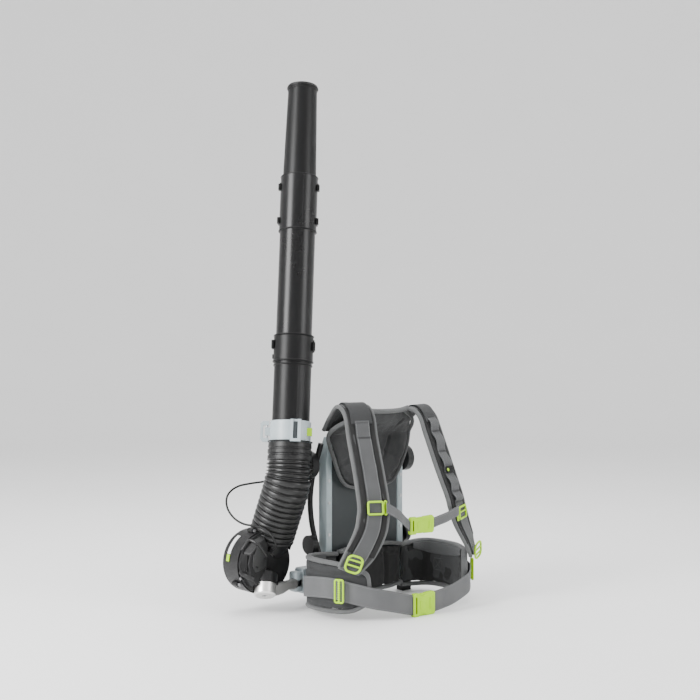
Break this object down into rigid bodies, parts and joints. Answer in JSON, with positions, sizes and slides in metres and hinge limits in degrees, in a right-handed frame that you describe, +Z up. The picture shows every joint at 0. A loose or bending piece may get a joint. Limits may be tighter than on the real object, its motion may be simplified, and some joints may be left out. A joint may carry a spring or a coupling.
{
  "type": "backpack leaf blower",
  "caption": "Backpack leaf blower: battery frame with padded harness, swivelling fan unit, bellows and a long tapered air tube.",
  "frame": {"origin": "on the ground under the middle of the back panel's front face, on the central foot's underside", "axes": "+Z up, -Y is the way the wearer faces, -X is the wearer's right, where the fan unit and the air tube are"},
  "size_m": [0.5987, 0.4093, 1.3278],
  "materials": {
    "tube_gloss": "smooth gloss",
    "tube_satin": "satin",
    "black_plastic": "moulded texture",
    "grey_plastic": "fine moulded texture",
    "lime_plastic": "satin",
    "trim": "satin",
    "rubber": "matt",
    "silver": "brushed",
    "cast_metal": "cast and painted",
    "steel": "turned",
    "battery_case": "moulded texture",
    "board": "coated board",
    "charcoal_fabric": "woven nylon",
    "black_mesh": "spacer mesh",
    "grey_webbing": "ribbed webbing"
  },
  "bodies": {
    "frame": {"side_rails": "grey_plastic", "back_panel": "black_plastic", "rear_housing": "black_plastic", "control_board": "board", "feet": "rubber", "carry_handle": "black_plastic", "guard_bars": "black_plastic", "frame_screws": "steel", "side_brackets": "grey_plastic", "swivel_arm": "cast_metal", "swivel_cap": "silver", "pivot_pin": "steel", "yoke_pad": "charcoal_fabric", "shoulder_strap_right": "charcoal_fabric", "shoulder_strap_left": "charcoal_fabric", "strap_webbing": "grey_webbing", "strap_adjusters": "lime_plastic", "lumbar_pad": "black_mesh", "hip_wing_right": "charcoal_fabric", "hip_wing_left": "charcoal_fabric", "hip_webbing_right": "grey_webbing", "hip_webbing_left": "grey_webbing", "chest_webbing_right": "grey_webbing", "chest_webbing_left": "grey_webbing", "hip_buckle_socket": "lime_plastic", "chest_buckle_socket": "lime_plastic", "hip_adjusters": "lime_plastic"},
    "battery": {"battery_pack": "battery_case"},
    "battery_release": {"battery_latch": "lime_plastic"},
    "fan_unit": {"scroll_front": "black_plastic", "scroll_rear": "black_plastic", "front_cover": "black_plastic", "intake_grille": "black_plastic", "fan_motor": "cast_metal", "motor_mount": "black_plastic", "rotor_bearings": "steel", "housing_screws": "steel", "trim_strip": "trim", "bellows_lower_cuff": "black_plastic", "cable_gland": "black_plastic", "bellows": "rubber", "control_cable": "rubber"},
    "rotor": {"impeller": "black_plastic", "rotor_shaft": "steel"},
    "tube": {"lower_tube": "tube_gloss", "upper_tube": "tube_gloss", "bellows_upper_cuff": "black_plastic", "tube_collar": "tube_satin", "nozzle_sleeve": "tube_satin", "nozzle": "tube_satin", "clamp_ring": "grey_plastic", "hinge_pins": "steel", "handle_shell_left": "black_plastic", "handle_shell_right": "black_plastic"},
    "clamp_lever": {"clamp_lever": "grey_plastic"},
    "trigger": {"trigger": "black_plastic"},
    "cruise_lever": {"cruise_lever": "lime_plastic"},
    "boost_button": {"boost_button": "lime_plastic"},
    "hip_plug": {"hip_buckle_plug": "lime_plastic"},
    "chest_plug": {"chest_buckle_plug": "lime_plastic"}
  },
  "joints": [
    {"name": "blower_swivel", "type": "hinge", "parent": "frame", "child": "fan_unit", "pos_m": [-0.304, 0.02, 0.057], "axis": [0.3213, 0.3828, 0.8661], "range_deg": [-10, 2]},
    {"name": "bellows_bend", "type": "hinge", "parent": "fan_unit", "child": "tube", "pos_m": [-0.243, 0.02, 0.29], "axis": [1, 0, 0], "range_deg": [-8, 25], "deforming": ["bellows", "control_cable"]},
    {"name": "fan_spin", "type": "hinge", "parent": "fan_unit", "child": "rotor", "pos_m": [-0.293, 0.042, 0.12], "axis": [0, 1, 0], "continuous": true},
    {"name": "trigger_pull", "type": "hinge", "parent": "tube", "child": "trigger", "pos_m": [-0.14098, 0.1194, 0.50212], "axis": [0.7628, -0.6461, -0.0265], "range_deg": [0, 9], "stiffness_Nm_per_rad": 0.4, "springref_deg": -11.46},
    {"name": "cruise_set", "type": "hinge", "parent": "tube", "child": "cruise_lever", "pos_m": [-0.13912, 0.12062, 0.5261], "axis": [0.7628, -0.6461, -0.0265], "range_deg": [0, 50]},
    {"name": "boost_press", "type": "slide", "parent": "tube", "child": "boost_button", "axis": [-0.1305, -0.1137, -0.9849], "range_m": [0, 0.004], "stiffness_N_per_m": 400, "springref_m": -0.001},
    {"name": "clamp_release", "type": "hinge", "parent": "tube", "child": "clamp_lever", "pos_m": [-0.26891, 0.06083, 0.43648], "axis": [0.1305, 0.1137, 0.9849], "range_deg": [0, 70]},
    {"name": "battery_slide", "type": "slide", "parent": "frame", "child": "battery", "axis": [0, 0, 1], "range_m": [0, 0.26]},
    {"name": "battery_release_press", "type": "slide", "parent": "frame", "child": "battery_release", "axis": [0, -1, 0], "range_m": [0, 0.004], "stiffness_N_per_m": 500, "springref_m": -0.001},
    {"name": "hip_buckle_release", "type": "slide", "parent": "frame", "child": "hip_plug", "axis": [1, 0, 0], "range_m": [0, 0.03], "deforming": ["hip_webbing_left"]},
    {"name": "chest_buckle_release", "type": "slide", "parent": "frame", "child": "chest_plug", "axis": [1, 0, 0], "range_m": [0, 0.028], "deforming": ["chest_webbing_left"]}
  ]
}
